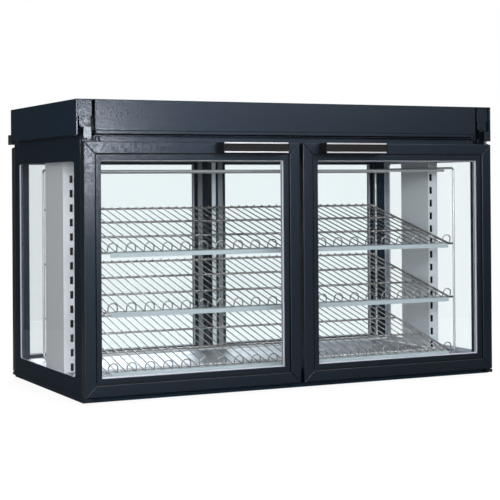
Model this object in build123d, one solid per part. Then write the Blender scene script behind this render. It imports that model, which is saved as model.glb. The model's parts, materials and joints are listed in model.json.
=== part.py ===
from build123d import *
import math
import os

# Heated merchandising cabinet, pass-through, with two glass doors at the front and two at the back.
# Millimetres. X runs across the front, Y to the back, Z up. The origin is the middle of the
# footprint on the counter. The cabinet is built about its middle, so a piece is made once for the
# front left corner and mirrored to the others.

# Overall sizes
body_width = 1220.0
door_span = 620.0
cabinet_height = 760.0

# Base
pad_height = 2.0
pad_radius = 16.0
pad_inset = 60.0
base_height = 14.0
base_side_setback = 1.2
base_end_setback = 20.0
base_sheet = 1.5

# Body frame, from the deck up to the ceiling
sheet = 1.2
tube_wall = 1.5
post_width = 35.0
post_depth = 22.0
deck_height = 38.0
header_height = 54.0
header_neck = 3.0
header_neck_inset = 4.0
fit_gap = 0.3
insulation_gap = 1.0

# Side windows
window_front_margin = 46.0
window_back_margin = 45.0
window_sill = 8.5
window_head = 7.0
window_corner = 8.0
side_seam = 1.0
side_seam_margin = 38.0
gasket_reveal = 3.0
side_pane = 5.0
pane_gap = 0.3
pane_edge = 2.0

# Cap
cap_overhang = 13.0
cap_front_setback = 18.0
cap_back_setback = 38.0
cap_sheet = 1.5
cap_height = 91.0
cap_panel_gap = 5.0
cap_side_gap = 2.0
cap_floor_sheet = 1.5
cap_floor_ledge = 20.0
cap_corner_radius = 5.0
cap_lip_depth = 8.0
cap_hem = 4.0
pocket_width = 49.0
pocket_depth = 26.0

# Doors
door_sill_gap = 2.0
door_head_gap = 16.0
door_gap = 10.0
door_depth = 27.0
door_standoff = 3.0
stile_face = 30.0
stile_wall = 2.0
bead_face = 16.0
bead_setback = 3.0
bead_depth = 5.0
glass_inset = 34.0
glass_pane = 4.0
spacer_depth = 8.0
spacer_width = 6.0
spacer_edge = 8.0
seal_width = 15.0
seal_inset = 21.0
seal_gap = 0.3

# Hinges
pin_radius = 4.0
pin_clearance = 0.05
pin_inset = 9.0
pin_engagement = 16.0
bush_radius = 6.8
bush_flange_radius = 8.4
bush_top_flange = 1.5
bush_bottom_flange = 1.2
bush_length = 20.0
hinge_block_width = 20.0
hinge_block_depth = 29.0
hinge_block_gap = 9.0
hinge_block_height = 27.6
rear_block_overhang = 10.0
hinge_arm_height = 23.0
hinge_arm_rise = 5.0
hinge_arm_inset = 10.0
hinge_arm_width = 30.0
hinge_stem_inset = 3.0
rear_arm_reach = 34.0
rear_stem_setback = 8.0
rear_stem_depth = 16.0
front_strap_sheet = 5.0
front_strap_drop = 18.0
hinge_notch_inset = 7.0
hinge_notch_width = 10.0
hinge_notch_height = 5.0
hinge_toe = 2.0
hinge_plate_sheet = 2.5
cover_plate_setback = 5.0
cover_plate_step = 1.5
cover_plate_lap = 2.0
cover_plate_margin = 3.0
lower_bracket_width = 19.6
lower_bracket_inset = 0.2
lower_bracket_height = 8.4
clip_width = 18.0
clip_depth = 14.0
clip_height = 14.0
clip_sheet = 1.5
clip_inset = 32.5
clip_tongue = 2.0
clip_tongue_setback = 3.0

# Door pulls
pull_length = 190.0
pull_centre_inset = 50.0
pull_height = 27.0
pull_projection = 36.0
pull_wall = 3.0
pull_flange = 21.0
pull_lip = 3.5
pull_insert_sheet = 1.6
pull_insert_setback = 0.8
pull_cap = 3.0

# Warm air columns with their shelf slots
column_width = 32.3
column_depth = 150.0
column_glass_gap = 18.1
column_shift = 1.0
slot_width = 8.5
slot_height = 20.0
slot_pitch = 38.1
slot_head = 51.0
slot_foot = 12.0
slot_inset = 9.5

# Wire rack that stands on the deck
end_rod = 6.4
rack_column_gap = 3.7
rack_end_setback = 63.5
rack_head_gap = 24.5
end_corner_low = 20.0
end_corner_high = 10.0
cross_rod = 7.0
cross_rod_inset = 53.5

# Forward-slanted wire shelves
shelf_names = ("bottom", "middle", "top")
shelf_floor_gap = 13.0
shelf_pitch = 153.5
shelf_slope = 13.8
shelf_rod = 6.0
shelf_wire = 3.2
shelf_wire_pitch = 25.4
shelf_nose = 12.5
loop_rise = 12.0
shelf_bend = 5.0
shelf_side_rod_gap = 2.0
wire_touch = 0.05
rail_thickness = 4.0
rail_height = 11.0
rail_drop = 1.5
rail_end_inset = 7.7
rail_gap = 0.2
rail_flange_sheet = 1.2

# Air heater and blower above the ceiling
blower_radius = 30.0
blower_length = 300.0
blower_back = 90.0
blower_rise = 76.8
blower_disc = 2.0
blade_count = 24
blade_chord = 8.0
blade_sheet = 1.0
blade_edge = 1.0
shaft_radius = 4.0
shaft_stub = 10.0
blower_mouth_rise = 12.0
blower_shell = 1.2
blower_shell_gap = 5.0
blower_end_gap = 3.0
blower_plate = 2.0
blower_foot = 16.0
motor_radius = 30.0
motor_length = 55.0
motor_bore_gap = 1.0
heater_radius = 4.0
heater_half_length = 250.0
heater_pitch = 36.0
heater_passes = 3
heater_front = -72.0
heater_rise = 36.0
heater_strap = 2.0
heater_strap_inset = 40.0
heater_strap_reach = 10.0
grille_slots = 20
grille_slot_width = 10.0
grille_slot_length = 84.0
grille_pitch = 22.0

# Light bars let into the ceiling
light_end_margin = 128.8
light_width = 24.0
light_height = 20.0
light_inset = 52.0
light_lens_lip = 2.0

# Controls and power inlet on the back of the cap
control_drop = 44.0
knob_margin = 214.0
knob_radius = 18.0
knob_length = 16.0
knob_skirt = 3.0
knob_grip_inset = 3.0
knob_pointer_width = 3.0
knob_pointer_rise = 1.5
knob_bore_gap = 0.5
knob_gap = 0.6
knob_shaft_radius = 3.0
knob_shaft_length = 14.0
thermostat_size = 44.0
thermostat_depth = 34.0
knob_switch_pitch = 70.0
switch_pitch = 40.0
switch_width = 20.0
switch_height = 30.0
switch_depth = 26.0
switch_bezel = 3.0
switch_bezel_out = 2.0
switch_wall = 1.5
rocker_gap = 0.4
rocker_end_gap = 1.5
rocker_floor_gap = 4.0
rocker_tilt = 8.0
rocker_depth = 10.0
rocker_pivot = 5.0
rocker_proud = 1.0
rocker_dip = 1.5
rocker_taper = 3.0
inlet_margin = 194.0
inlet_width = 32.0
inlet_height = 26.0
inlet_depth = 26.0
inlet_flange = 10.0
inlet_flange_rise = 3.0
inlet_flange_out = 2.5
inlet_wall = 2.5
inlet_recess = 18.0
inlet_blade_width = 2.0
inlet_blade_height = 6.0
inlet_blade_length = 12.0
inlet_blade_places = ((-8.0, -2.0), (0.0, 3.0), (8.0, -2.0))
screw_radius = 4.0
screw_head = 2.4
screw_pitch = 190.0
screw_inset = 9.0

# Places that follow from the sizes above
half_width = body_width / 2
half_span = door_span / 2
body_end = half_span - door_depth - door_standoff
frame_half = half_width - sheet
post_inner = frame_half - post_width
post_back = body_end - post_depth
cap_half = half_width + cap_overhang
cap_front = -half_span + cap_front_setback
cap_back = half_span - cap_back_setback
pocket_x = cap_half - pocket_width
pin_x = half_width - pin_inset
pin_y = -half_span + door_depth / 2
door_inner_x = door_gap / 2

# Levels, from the counter up and from the top down
deck_top = base_height + deck_height
cap_inside_top = cabinet_height - cap_sheet
cap_floor_bottom = cabinet_height - cap_height
cap_floor_top = cap_floor_bottom + cap_floor_sheet
cap_panel_bottom = cap_floor_bottom + cap_panel_gap
cap_side_bottom = cap_floor_bottom + cap_side_gap
header_top = cap_floor_bottom - header_neck
ceiling_bottom = header_top - header_height
ceiling_top = ceiling_bottom + sheet
window_bottom = deck_top + window_sill
window_top = ceiling_bottom - window_head
door_bottom = base_height + door_sill_gap
door_top = cap_floor_bottom - door_head_gap
hinge_block_bottom = door_top + hinge_block_gap
slot_top = ceiling_bottom - slot_head
end_top = ceiling_bottom - rack_head_gap
blower_height = ceiling_top + blower_rise
control_height = cabinet_height - control_drop

# Columns stand off the side glass, the rack off the columns, and the shelves fill the rack
column_inner_half = frame_half - gasket_reveal - side_pane - column_glass_gap - column_width
slot_count = int((slot_top - deck_top - slot_foot) // slot_pitch) + 1
end_half_width = column_inner_half - rack_column_gap - end_rod / 2
end_depth = 2 * (body_end - rack_end_setback)
shelf_angle = math.radians(shelf_slope)
shelf_room = end_half_width - end_rod / 2 - shelf_rod - shelf_side_rod_gap - shelf_wire / 2
shelf_loops = int((shelf_room - shelf_wire_pitch / 2) // shelf_wire_pitch) + 1
shelf_half = shelf_wire_pitch * (shelf_loops - 1 / 2)
rail_half_length = shelf_half - rail_end_inset
light_half_length = frame_half - light_end_margin

# Controls, counted from the ends of the cap's back panel
knob_x = pocket_x - knob_margin
power_switch_x = knob_x - knob_switch_pitch
light_switch_x = power_switch_x - switch_pitch
inlet_x = inlet_margin - pocket_x


def box(x0, x1, y0, y1, z0, z1):
    """A box between two corners, given low and high along each axis."""
    middle = Pos((x0 + x1) / 2, (y0 + y1) / 2, (z0 + z1) / 2)
    return middle * Box(x1 - x0, y1 - y0, z1 - z0)


def rod(start, end, radius):
    """A round bar between two points."""
    start = Vector(*start)
    end = Vector(*end)
    along = end - start
    return Solid.make_cylinder(radius, along.length, Plane(origin=start, z_dir=along))


def bent_rod(points, bend, radius):
    """A round bar along straight runs joined by tangent bends."""
    path = FilletPolyline(*points, radius=bend)
    start = path.position_at(0)
    section = Plane(origin=start, z_dir=path.tangent_at(0)) * Circle(radius)
    return sweep(section, path=path).solid()


def round_bend(start, along, turn, bend, radius, arc=90):
    """A bar's bend that starts at a point heading along, and turns towards another direction."""
    section = Plane(origin=start, z_dir=along) * Circle(radius)
    return revolve(section, axis=Axis(start + turn * bend, along.cross(turn)), revolution_arc=arc)


def prism_y(points, y0, y1):
    """An outline in X and Z, carried from y0 to y1."""
    outline = make_face(Polyline(*[(x, y0, z) for x, z in points], close=True))
    return extrude(outline, amount=y1 - y0, dir=(0, 1, 0)).solid()


def prism_x(points, x0, x1):
    """An outline in Y and Z, carried from x0 to x1."""
    outline = make_face(Polyline(*[(x0, y, z) for y, z in points], close=True))
    return extrude(outline, amount=x1 - x0, dir=(1, 0, 0)).solid()


def ring_y(outer, inner, y0, y1):
    """A flat rectangular ring in X and Z. Outlines are (x0, x1, z0, z1)."""
    return (box(*outer[:2], y0, y1, *outer[2:]) - box(*inner[:2], y0, y1, *inner[2:])).solid()


def ring_x(outer, inner, x0, x1):
    """A flat rectangular ring in Y and Z. Outlines are (y0, y1, z0, z1)."""
    return (box(x0, x1, *outer) - box(x0, x1, *inner)).solid()


def shrink(outline, by):
    """A rectangle (low, high, low, high) moved in by the same amount on each side."""
    return (outline[0] + by, outline[1] - by, outline[2] + by, outline[3] - by)


def at_corner(shape, side, end):
    """Mirror a piece made for the front left corner to side -1 or 1 and end -1 or 1."""
    if side > 0:
        shape = mirror(shape, about=Plane.YZ)
    if end > 0:
        shape = mirror(shape, about=Plane.XZ)
    return shape


corners = [(-1, -1), (1, -1), (-1, 1), (1, 1)]
pieces = {}


def keep(name, *shapes):
    """File the solids of one named piece."""
    solids = []
    for shape in shapes:
        solids.extend(shape.solids())
    pieces[name] = Compound(children=[Solid(solid.wrapped) for solid in solids])


# Base: a folded pan, upside down, on four pads
def make_base():
    half_x = half_width - base_side_setback
    half_y = half_span - base_end_setback
    pan = box(-half_x, half_x, -half_y, half_y, pad_height, base_height)
    inside = half_x - base_sheet, half_y - base_sheet
    pan -= box(-inside[0], inside[0], -inside[1], inside[1], pad_height, base_height - base_sheet)
    keep("base_pan", pan)
    pads = []
    for x in (-half_x + pad_inset, half_x - pad_inset):
        for y in (-half_y + pad_inset, half_y - pad_inset):
            pads.append(rod((x, y, 0), (x, y, base_height - base_sheet), pad_radius))
    keep("rubber_feet", *pads)


# Corner posts, sills and headers that the doors close against
def make_frame():
    post = box(-frame_half, -post_inner, -body_end, -post_back, base_height, ceiling_bottom)
    core = box(-frame_half + tube_wall, -post_inner - tube_wall, -body_end + tube_wall,
               -post_back - tube_wall, base_height, ceiling_bottom)
    post = (post - core).solid()
    keep("corner_posts", *[at_corner(post, *corner) for corner in corners])

    rail_half = post_inner - fit_gap
    sill_top = deck_top - sheet
    outline = (-body_end, -post_back, base_height, sill_top)
    sill = ring_x(outline, shrink(outline, tube_wall), -rail_half, rail_half)
    keep("sill_rails", sill, mirror(sill, about=Plane.XZ))

    section = [(-body_end, ceiling_top), (-body_end, header_top),
               (-body_end + header_neck_inset, header_top),
               (-body_end + header_neck_inset, cap_floor_bottom),
               (-post_back - header_neck_inset, cap_floor_bottom),
               (-post_back - header_neck_inset, header_top),
               (-post_back, header_top), (-post_back, ceiling_top)]
    header = prism_x(section, -frame_half, frame_half)
    hollow = box(-frame_half, frame_half, -body_end + tube_wall, -post_back - tube_wall,
                 ceiling_top + tube_wall, header_top - tube_wall)
    header = (header - hollow).solid()
    keep("header_rails", header, mirror(header, about=Plane.XZ))


# Side sheets with a window, and the sheet's seam near the back post
def make_side(side):
    low = base_height
    high = cap_floor_bottom
    seam_y = body_end - side_seam_margin
    x0, x1 = -half_width, -frame_half
    front_edge = -half_span + door_depth + door_standoff + window_front_margin
    back_edge = body_end - window_back_margin
    window = (front_edge, back_edge, window_bottom, window_top)
    sheet_solid = box(x0, x1, -body_end, seam_y - side_seam / 2, low, high)
    hole = box(x0, x1, *window)
    hole = fillet(hole.edges().filter_by(Axis.X), window_corner)
    sheet_solid -= hole
    strip = box(x0, x1, seam_y + side_seam / 2, body_end, low, high)
    name = "left" if side < 0 else "right"
    keep(f"side_panel_{name}", at_corner(sheet_solid, side, -1), at_corner(strip, side, -1))

    seat = (-post_back, post_back, deck_top, ceiling_bottom)
    reveal_x = x1 + gasket_reveal
    pane_x = reveal_x + side_pane
    opening = box(x1, reveal_x, *window)
    opening = fillet(opening.edges().filter_by(Axis.X), window_corner)
    gasket = box(x1, reveal_x, *seat) - opening
    pane_outline = shrink(seat, pane_edge)
    pane_room = shrink(seat, pane_edge - pane_gap)
    gasket += ring_x(seat, pane_room, reveal_x, pane_x)
    pane = box(reveal_x, pane_x, *pane_outline)
    return at_corner(gasket.solid(), side, -1), at_corner(pane, side, -1)


def make_sides():
    left = make_side(-1)
    right = make_side(1)
    keep("side_glass_gaskets", left[0], right[0])
    keep("side_glass", left[1], right[1])


# Deck tray, insulation under it, and the ceiling with its grille and light openings
def plate_with_corners(z0, z1):
    """A sheet between the side sheets and the two door planes, cut round the posts."""
    plate = box(-frame_half, frame_half, -body_end, body_end, z0, z1)
    for side, end in corners:
        notch = box(-frame_half, -post_inner + fit_gap, -body_end, -post_back + fit_gap, z0, z1)
        plate -= at_corner(notch, side, end)
    return plate


def grille_openings(z0, z1):
    start = -grille_pitch * (grille_slots - 1) / 2
    middle = heater_front + heater_pitch * (heater_passes - 1) / 2
    cuts = []
    for index in range(grille_slots):
        x = start + index * grille_pitch
        cuts.append(box(x - grille_slot_width / 2, x + grille_slot_width / 2,
                        middle - grille_slot_length / 2, middle + grille_slot_length / 2, z0, z1))
    return cuts


def make_plates():
    keep("deck_tray", plate_with_corners(deck_top - sheet, deck_top))
    inset = insulation_gap
    keep("floor_insulation",
         box(-frame_half + inset, frame_half - inset, -post_back + inset, post_back - inset,
             base_height, deck_top - sheet))
    ceiling = box(-frame_half, frame_half, -body_end, body_end, ceiling_bottom, ceiling_top)
    for cut in grille_openings(ceiling_bottom, ceiling_top):
        ceiling -= cut
    light_y = -body_end + light_inset
    for end in (-1, 1):
        opening = box(-light_half_length + light_lens_lip, light_half_length - light_lens_lip,
                      light_y + light_lens_lip, light_y + light_width - light_lens_lip,
                      ceiling_bottom, ceiling_top)
        ceiling -= at_corner(opening, -1, end)
    for side in (-1, 1):
        duct = column_outline(side)
        ceiling -= box(*shrink(duct, sheet), ceiling_bottom, ceiling_top)
    keep("ceiling_panel", ceiling)


# Cap: floor, front, back, two sides and top, with an open pocket at each corner for the hinge
def make_cap():
    floor = box(-cap_half + cap_sheet, cap_half - cap_sheet, cap_front, cap_back,
                cap_floor_bottom, cap_floor_top)
    for side, end in corners:
        depth = pocket_depth if end < 0 else cap_back - (-cap_front - pocket_depth)
        edge = cap_front if end < 0 else -cap_back
        notch = box(-cap_half, -pocket_x, edge, edge + depth, cap_floor_bottom, cap_floor_top)
        floor -= at_corner(notch, side, end)
    room_y = post_back - cap_floor_ledge
    room_x = post_inner - cap_floor_ledge
    floor -= box(-room_x, room_x, -room_y, room_y, cap_floor_bottom, cap_floor_top)
    keep("cap_floor_panel", floor)

    keep("cap_front_panel", cap_end_panel(cap_front, pocket_depth))
    back_depth = cap_back - (-cap_front - pocket_depth)
    back = cap_end_panel(-cap_back, back_depth)
    back = mirror(back, about=Plane.XZ)
    for x, width, height in control_cutouts():
        back -= box(x - width / 2, x + width / 2, cap_back - 2 * cap_sheet, cap_back + cap_sheet,
                    control_height - height / 2, control_height + height / 2)
    hole = rod((knob_x, cap_back - 2 * cap_sheet, control_height),
               (knob_x, cap_back + cap_sheet, control_height), knob_shaft_radius + knob_gap)
    keep("cap_rear_panel", back - hole)

    outer = box(-cap_half, -cap_half + cap_sheet, cap_front, cap_back, cap_side_bottom, cap_inside_top)
    front_hem = box(-cap_half, -cap_half + cap_hem, cap_front, cap_front + cap_sheet,
                    cap_side_bottom, cap_inside_top)
    back_hem = box(-cap_half, -cap_half + cap_hem, cap_back - cap_sheet, cap_back,
                   cap_side_bottom, cap_inside_top)
    side_panel = (outer + front_hem + back_hem).solid()
    keep("cap_side_panels", side_panel, mirror(side_panel, about=Plane.YZ))
    keep("cap_top_panel", box(-cap_half, cap_half, cap_front, cap_back, cap_inside_top, cabinet_height))


def cap_end_panel(face_y, depth):
    """A front panel with rounded upright corners, returns into the pockets and a bottom lip."""
    back_y = face_y + depth
    shell = box(-pocket_x, pocket_x, face_y, back_y, cap_panel_bottom, cap_inside_top)
    upright = shell.edges().filter_by(Axis.Z).group_by(Axis.Y)[0]
    shell = fillet(upright, cap_corner_radius)
    room = box(-pocket_x + cap_sheet, pocket_x - cap_sheet, face_y + cap_sheet, back_y,
               cap_panel_bottom, cap_inside_top)
    inner_upright = room.edges().filter_by(Axis.Z).group_by(Axis.Y)[0]
    room = fillet(inner_upright, cap_corner_radius - cap_sheet)
    lip = box(-pocket_x + cap_corner_radius, pocket_x - cap_corner_radius, face_y + cap_sheet,
              face_y + cap_lip_depth, cap_panel_bottom, cap_panel_bottom + cap_sheet)
    return (shell - room + lip).solid()


# Hinges: arm, block and pin above each door, bracket and pin below it
def front_arm(x0, x1, wall_y, bottom, top, stem):
    """An arm with a notched foot, a strap behind the block, and a cover plate almost flush with the cap."""
    plate_y = cap_front + cover_plate_setback
    arm_y = plate_y + cover_plate_step
    arm = box(x0, x1, arm_y, wall_y, bottom, top + cover_plate_lap)
    notch_x = x0 + hinge_notch_inset
    arm -= box(notch_x, notch_x + hinge_notch_width, arm_y, arm_y + hinge_plate_sheet,
               bottom, bottom + hinge_notch_height)
    toe = box(x0, notch_x, arm_y, arm_y + hinge_plate_sheet, bottom - hinge_toe, bottom)
    plate = box(x0 - cover_plate_margin, x1 + cover_plate_margin, plate_y, plate_y + hinge_plate_sheet,
                top, cap_inside_top)
    strap_y = -half_span + hinge_block_depth
    strap = box(*stem, strap_y, strap_y + front_strap_sheet, bottom - front_strap_drop, bottom)
    return arm + toe + plate + strap


def rear_arm(x0, x1, wall_y, bottom, top, stem):
    """A longer arm that reaches out past the cap's back, with a stem down to the block."""
    arm_y = wall_y - rear_arm_reach
    stem_y = arm_y + rear_stem_setback
    return (box(x0, x1, arm_y, wall_y, bottom, top)
            + box(*stem, stem_y, stem_y + rear_stem_depth, bottom - hinge_arm_rise, bottom))


def door_stop_clip():
    """A folded clip under the cap, open to the front, with a tongue in its middle."""
    x0 = -half_width + clip_inset
    x1 = x0 + clip_width
    front, bottom = -body_end - clip_depth, cap_floor_bottom - clip_height
    clip = box(x0, x1, front, -body_end, bottom, cap_floor_bottom)
    clip -= box(x0 + clip_sheet, x1 - clip_sheet, front, -body_end - clip_sheet,
                bottom, cap_floor_bottom - clip_sheet)
    middle = (x0 + x1) / 2
    return clip + box(middle - clip_tongue / 2, middle + clip_tongue / 2, front + clip_tongue_setback,
                      -body_end, bottom, cap_floor_bottom)


def make_hinges():
    arms, blocks, lower, clips = [], [], [], []
    block_x = -half_width
    block_top = hinge_block_bottom + hinge_block_height
    arm_x = -cap_half + hinge_arm_inset
    arm_bottom = block_top + hinge_arm_rise
    wall_y = cap_front + pocket_depth
    stem = (block_x + hinge_stem_inset, block_x + hinge_block_width - hinge_stem_inset)
    for side, end in corners:
        overhang = rear_block_overhang if end > 0 else 0.0
        wall = box(-cap_half + cap_sheet, -pocket_x, wall_y, wall_y + hinge_plate_sheet,
                   cap_floor_top, cap_inside_top)
        shape = front_arm if end < 0 else rear_arm
        arm = shape(arm_x, arm_x + hinge_arm_width, wall_y, arm_bottom, arm_bottom + hinge_arm_height, stem)
        arms.append(at_corner((wall + arm).solid(), side, end))
        block = box(block_x - overhang, block_x + hinge_block_width, -half_span,
                    -half_span + hinge_block_depth, hinge_block_bottom, block_top)
        pin = rod((-pin_x, pin_y, door_top - pin_engagement), (-pin_x, pin_y, hinge_block_bottom),
                  pin_radius)
        blocks.append(at_corner((block + pin).solid(), side, end))
        bracket_x = -half_width + lower_bracket_inset
        top = door_bottom - bush_bottom_flange - fit_gap
        bracket = box(bracket_x, bracket_x + lower_bracket_width, -half_span,
                      -half_span + base_end_setback, top - lower_bracket_height, top)
        low_pin = rod((-pin_x, pin_y, top), (-pin_x, pin_y, door_bottom + pin_engagement), pin_radius)
        lower.append(at_corner((bracket + low_pin).solid(), side, end))
        clips.append(at_corner(door_stop_clip().solid(), side, end))
    keep("upper_hinge_arms", *arms)
    keep("upper_hinge_blocks", *blocks)
    keep("lower_hinge_brackets", *lower)
    keep("door_stop_clips", *clips)


# One door, made for the front left and mirrored
def mitred_frame(outline, width, wall, y0, y1):
    """Four hollow bars with mitred ends round a rectangle (x0, x1, z0, z1)."""
    def corner(by):
        x0, x1, z0, z1 = shrink(outline, by)
        return [(x0, z0), (x1, z0), (x1, z1), (x0, z1)]
    outer, inner = corner(0), corner(width)
    void_outer, void_inner = corner(wall), corner(width - wall)
    bars = []
    for index in range(4):
        after = (index + 1) % 4
        bar = prism_y([outer[index], outer[after], inner[after], inner[index]], y0, y1)
        void = prism_y([void_outer[index], void_outer[after], void_inner[after], void_inner[index]],
                       y0 + wall, y1 - wall)
        bars.append((bar - void).solid())
    return bars


def make_door():
    face = -half_span
    back = face + door_depth
    outline = (-half_width, -door_inner_x, door_bottom, door_top)
    bars = mitred_frame(outline, stile_face, stile_wall, face, back)
    top_bore = rod((-pin_x, pin_y, door_top - bush_length), (-pin_x, pin_y, door_top), bush_radius)
    low_bore = rod((-pin_x, pin_y, door_bottom), (-pin_x, pin_y, door_bottom + bush_length), bush_radius)
    bars = [(bar - top_bore - low_bore).solid() for bar in bars]
    hole = pin_radius + pin_clearance
    top_bush = top_bore + rod((-pin_x, pin_y, door_top), (-pin_x, pin_y, door_top + bush_top_flange),
                              bush_flange_radius)
    top_bush -= rod((-pin_x, pin_y, door_top - bush_length),
                    (-pin_x, pin_y, door_top + bush_top_flange), hole)
    low_bush = low_bore + rod((-pin_x, pin_y, door_bottom - bush_bottom_flange),
                              (-pin_x, pin_y, door_bottom), bush_flange_radius)
    low_bush -= rod((-pin_x, pin_y, door_bottom - bush_bottom_flange),
                    (-pin_x, pin_y, door_bottom + bush_length), hole)

    bead_outer = shrink(outline, stile_face)
    bead_inner = shrink(bead_outer, bead_face)
    unit_depth = 2 * glass_pane + spacer_depth
    bead_front = face + bead_setback
    unit_front = bead_front + bead_depth
    unit_back = unit_front + unit_depth
    front_bead = ring_y(bead_outer, bead_inner, bead_front, unit_front)
    back_bead = ring_y(bead_outer, bead_inner, unit_back, back)

    pane_outline = shrink(outline, glass_inset)
    front_pane = box(*pane_outline[:2], unit_front, unit_front + glass_pane, *pane_outline[2:])
    back_pane = box(*pane_outline[:2], unit_back - glass_pane, unit_back, *pane_outline[2:])
    spacer_outline = shrink(pane_outline, spacer_edge)
    spacer = ring_y(spacer_outline, shrink(spacer_outline, spacer_width), unit_front + glass_pane,
                    unit_back - glass_pane)
    edge_block = ring_y(bead_outer, shrink(pane_outline, -fit_gap), unit_front, unit_back)

    seal_outline = shrink(outline, seal_inset)
    seal = ring_y(seal_outline, shrink(seal_outline, seal_width), back, back + door_standoff - seal_gap)

    inner_end = -door_inner_x - pull_centre_inset
    outer_end = inner_end - pull_length
    top = door_top
    bottom = top - pull_height
    front = face - pull_projection
    profile = [(face, top), (front, top), (front, bottom), (front + pull_wall, bottom),
               (front + pull_wall, top - pull_wall), (face - pull_wall, top - pull_wall),
               (face - pull_wall, top - pull_flange), (face, top - pull_flange)]
    pull = prism_x(profile, outer_end + pull_cap, inner_end - pull_cap)
    insert_front = front + pull_insert_setback
    pull -= box(outer_end, inner_end, front, insert_front + pull_insert_sheet,
                bottom + pull_lip, top - pull_lip)
    insert = box(outer_end + pull_cap, inner_end - pull_cap, insert_front,
                 insert_front + pull_insert_sheet, bottom + pull_lip, top - pull_lip)
    cap_a = box(outer_end, outer_end + pull_cap, front, face, bottom, top)
    cap_b = box(inner_end - pull_cap, inner_end, front, face, bottom, top)
    return {
        "door_frame": bars + [top_bush, low_bush],
        "door_bead": [front_bead, back_bead, edge_block],
        "door_glass": [front_pane, back_pane, spacer],
        "door_seal": [seal],
        "door_pull": [pull.solid(), insert, cap_a, cap_b],
    }


def make_doors():
    door = make_door()
    for side, end in corners:
        place = ("front" if end < 0 else "rear") + ("_left" if side < 0 else "_right")
        for part, solids in door.items():
            keep(f"{part}_{place}", *[at_corner(solid, side, end) for solid in solids])


# Columns that carry warm air down, slotted at both ends for shelf brackets
def column_outline(side):
    x0 = column_inner_half
    x1 = x0 + column_width
    y0 = -column_depth / 2 + column_shift
    return (x0, x1, y0, y0 + column_depth) if side > 0 else (-x1, -x0, y0, y0 + column_depth)


def make_columns():
    for side, name in ((-1, "left"), (1, "right")):
        outline = column_outline(side)
        column = box(*outline, deck_top, ceiling_bottom)
        column -= box(*shrink(outline, sheet), deck_top, ceiling_bottom)
        middle = side * (column_inner_half + slot_inset)
        for index in range(slot_count):
            z = slot_top - index * slot_pitch
            column -= box(middle - slot_width / 2, middle + slot_width / 2,
                          outline[2], outline[3], z - slot_height / 2, z + slot_height / 2)
        keep(f"air_column_{name}", column)


# Wire rack: two bent end frames joined by cross rods, with three slanted shelves hung between them
def make_rack():
    half_y = end_depth / 2
    low = deck_top + end_rod / 2
    loop = [(-end_half_width, -half_y, low), (-end_half_width, half_y, low),
            (-end_half_width, half_y, end_top), (-end_half_width, -half_y, end_top)]
    low_bend, high_bend = end_corner_low, end_corner_high
    frame = closed_loop(loop, [low_bend, low_bend, high_bend, high_bend], end_rod / 2)
    keep("rack_end_frames", frame, mirror(frame, about=Plane.YZ))
    rods = []
    reach = end_half_width + end_rod / 2
    for y in (-half_y + cross_rod_inset, half_y - cross_rod_inset):
        for z in (low + (end_rod + cross_rod) / 2, end_top - (end_rod + cross_rod) / 2):
            rods.append(rod((-reach, y, z), (reach, y, z), cross_rod / 2))
    keep("rack_cross_rods", *rods)


def closed_loop(points, radii, radius):
    """A closed bent bar through four corners, as straight runs and quarter bends."""
    count = len(points)
    solids = None
    for index in range(count):
        here = Vector(*points[index])
        after = Vector(*points[(index + 1) % count])
        along = (after - here).normalized()
        start = here + along * radii[index]
        end = after - along * radii[(index + 1) % count]
        run = rod(start, end, radius)
        turn = (Vector(*points[(index + 2) % count]) - after).normalized()
        bend = round_bend(end, along, turn, radii[(index + 1) % count], radius)
        solids = run + bend if solids is None else solids + run + bend
    return solids.solid()


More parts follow.
